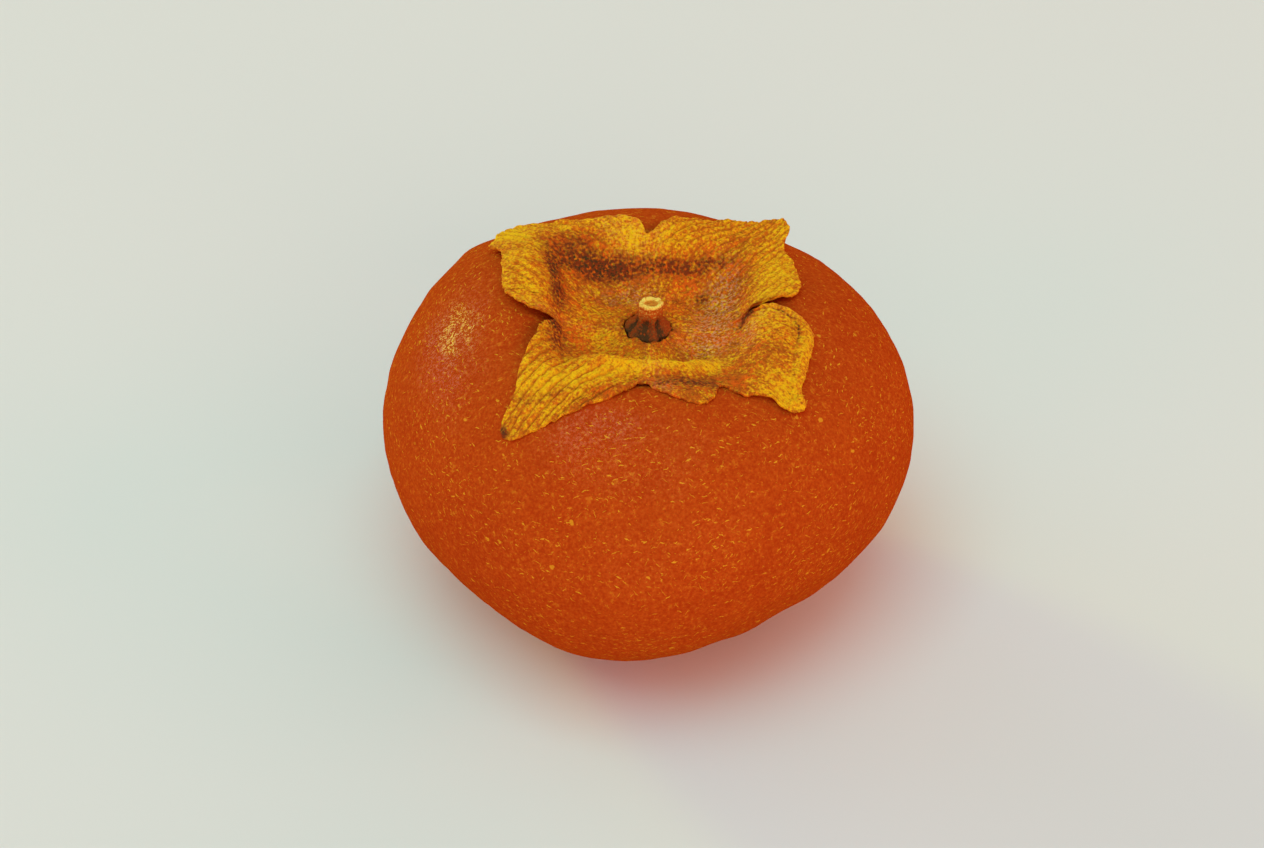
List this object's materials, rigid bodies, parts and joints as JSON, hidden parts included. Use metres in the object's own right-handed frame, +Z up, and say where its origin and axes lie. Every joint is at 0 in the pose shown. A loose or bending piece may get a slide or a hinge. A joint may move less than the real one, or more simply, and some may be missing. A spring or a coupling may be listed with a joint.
{
  "type": "persimmon fruit",
  "caption": "Squat ripe persimmon with softly cornered sides, standing on its blossom end, with its dried, lobed calyx and a broken stub of stalk in the crown.",
  "frame": {"origin": "middle of the flat spot on the blossom end that the fruit rests on", "axes": "+Z up along the fruit's axis, from the resting spot to the stalk; the calyx's lobes point between the X and Y axes"},
  "size_m": [0.0814, 0.0813, 0.0546],
  "materials": {
    "fruit_skin": "deep orange-red waxy skin with a soft sheen and fine pale yellow flecks",
    "dried_calyx": "dry, matt, yellow ochre with brown folds and parallel veins",
    "dried_stalk": "dry, matt, red-brown, with a pale ring round the pith on its broken end"
  },
  "bodies": {
    "root": {"fruit": "fruit_skin", "calyx": "dried_calyx", "stem_stub": "dried_stalk"}
  },
  "joints": []
}
